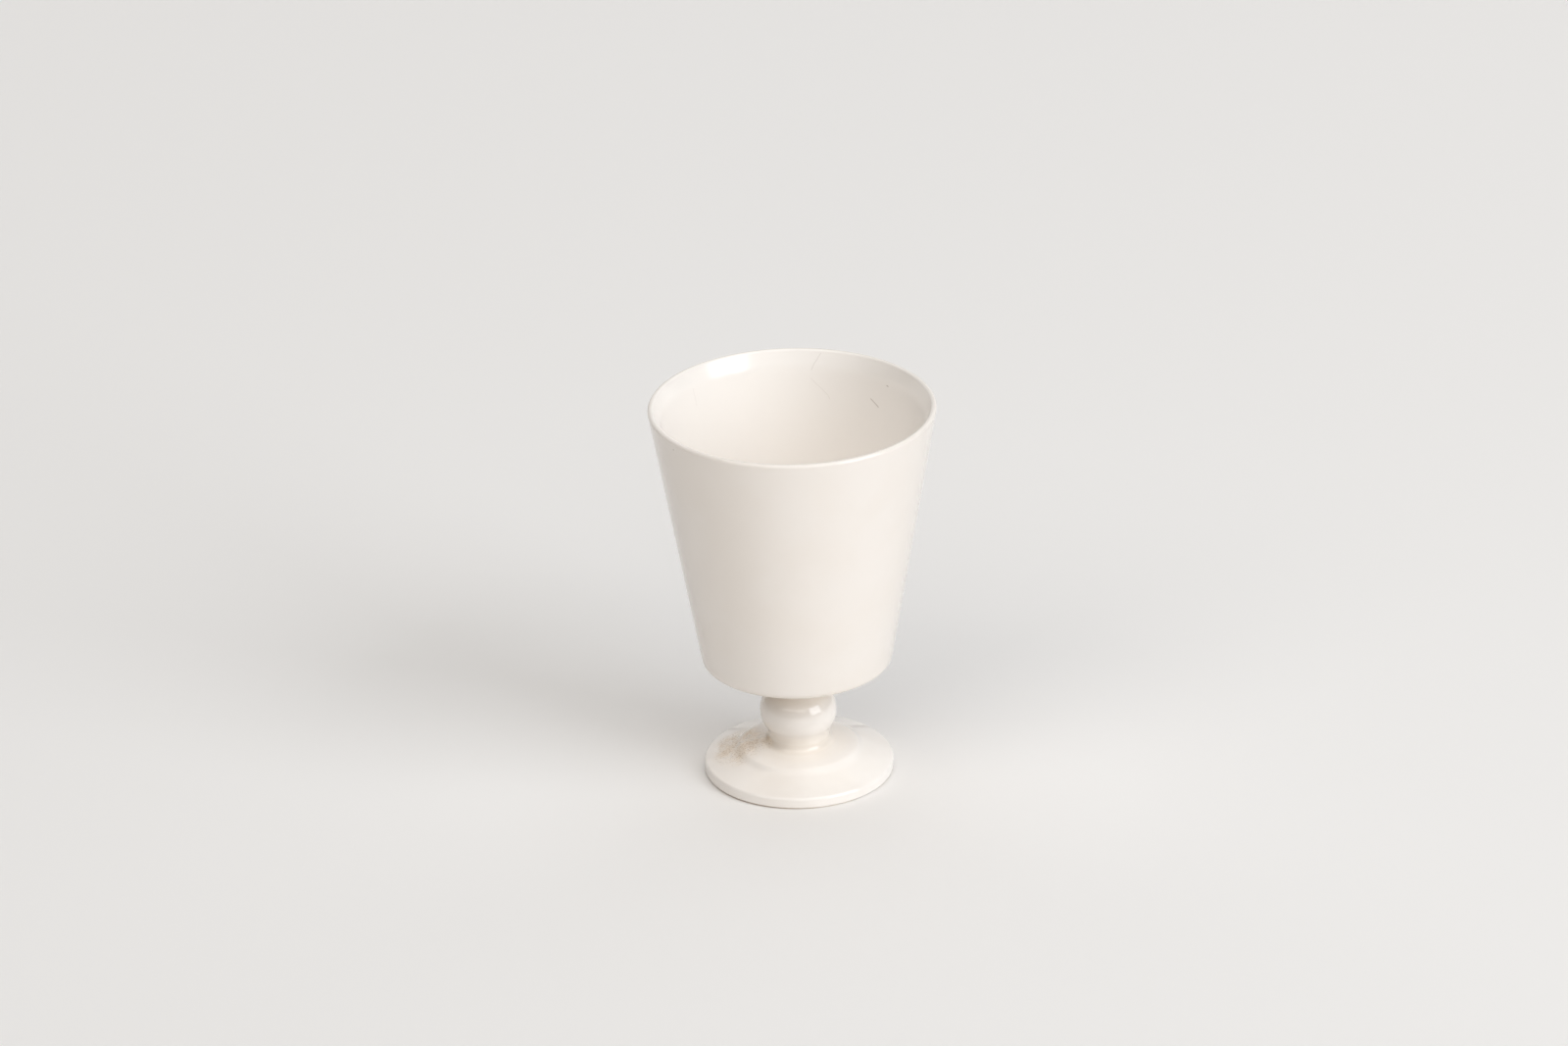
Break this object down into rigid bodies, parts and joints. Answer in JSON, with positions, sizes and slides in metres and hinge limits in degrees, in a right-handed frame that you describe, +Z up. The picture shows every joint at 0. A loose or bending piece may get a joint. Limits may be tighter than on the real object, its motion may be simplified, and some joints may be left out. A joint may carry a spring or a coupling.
{
  "type": "stemmed cup",
  "caption": "Cream-glazed earthenware wine cup with a tapered bowl on a turned knop and a stepped spreading foot.",
  "frame": {"origin": "middle of the foot, on the surface that the cup stands on", "axes": "+Z up along the cup's axis; the cup is turned, so +X and +Y are alike"},
  "size_m": [0.082, 0.082, 0.115],
  "materials": {
    "foot": "gloss",
    "stem_knop": "gloss",
    "bowl": "gloss",
    "lower_slip": "satin",
    "upper_slip": "satin"
  },
  "bodies": {
    "root": {"foot": "foot", "stem_knop": "stem_knop", "bowl": "bowl", "lower_slip": "lower_slip", "upper_slip": "upper_slip"}
  },
  "joints": []
}
